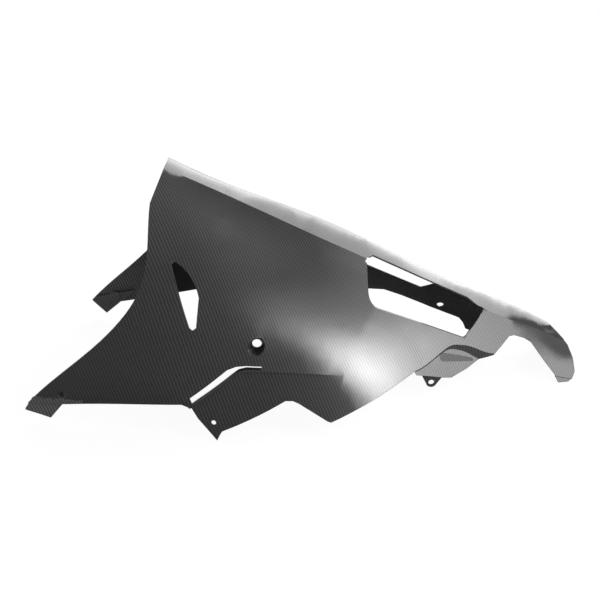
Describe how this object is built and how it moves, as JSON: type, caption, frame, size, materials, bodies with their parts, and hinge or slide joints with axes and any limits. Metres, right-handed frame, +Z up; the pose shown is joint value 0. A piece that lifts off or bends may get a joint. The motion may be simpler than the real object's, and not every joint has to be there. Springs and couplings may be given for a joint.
{
  "type": "motorcycle belly pan",
  "caption": "Moulded motorcycle belly pan: two flanks joined by a narrow keel, with side windows, vents, stepped brackets and recessed fastener cups, lying keel up.",
  "frame": {"origin": "centre of the bounding box at the surface that the part lies on, keel up", "axes": "+X towards the rear of the motorcycle, +Y towards the left-hand flank, +Z up as it lies"},
  "size_m": [0.7862, 0.4066, 0.3256],
  "materials": {
    "carbon_gloss": "clear-coated twill carbon laminate"
  },
  "bodies": {
    "root": {"belly_pan": "carbon_gloss"}
  },
  "joints": []
}
